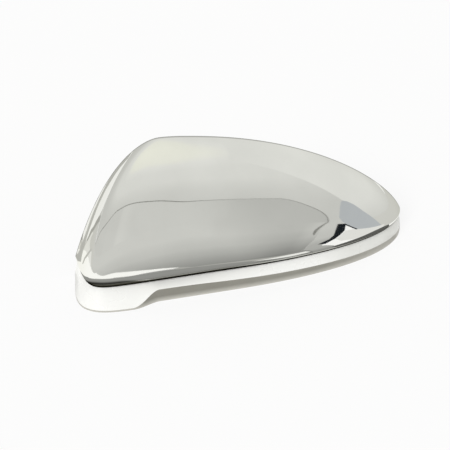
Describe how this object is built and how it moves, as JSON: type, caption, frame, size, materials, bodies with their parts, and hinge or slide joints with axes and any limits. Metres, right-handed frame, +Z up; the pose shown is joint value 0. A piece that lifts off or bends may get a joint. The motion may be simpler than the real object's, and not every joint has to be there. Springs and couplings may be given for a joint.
{
  "type": "wing mirror cover",
  "caption": "Chrome-plated wing mirror cover: a hollow tapering half-dome with a rolled lower edge, a sharp crease and a ledge that flares to a foot, open at the rear and below, with rim clips.",
  "frame": {"origin": "middle of the cover's footprint, on the level plane of its lower edge", "axes": "+X from the root end to the tip, +Y to the open rear, +Z up"},
  "size_m": [0.2506, 0.0522, 0.1043],
  "materials": {
    "plated_shell": "bright chrome plating on moulded ABS, mirror polished"
  },
  "bodies": {
    "root": {"mirror_cover": "plated_shell"}
  },
  "joints": []
}
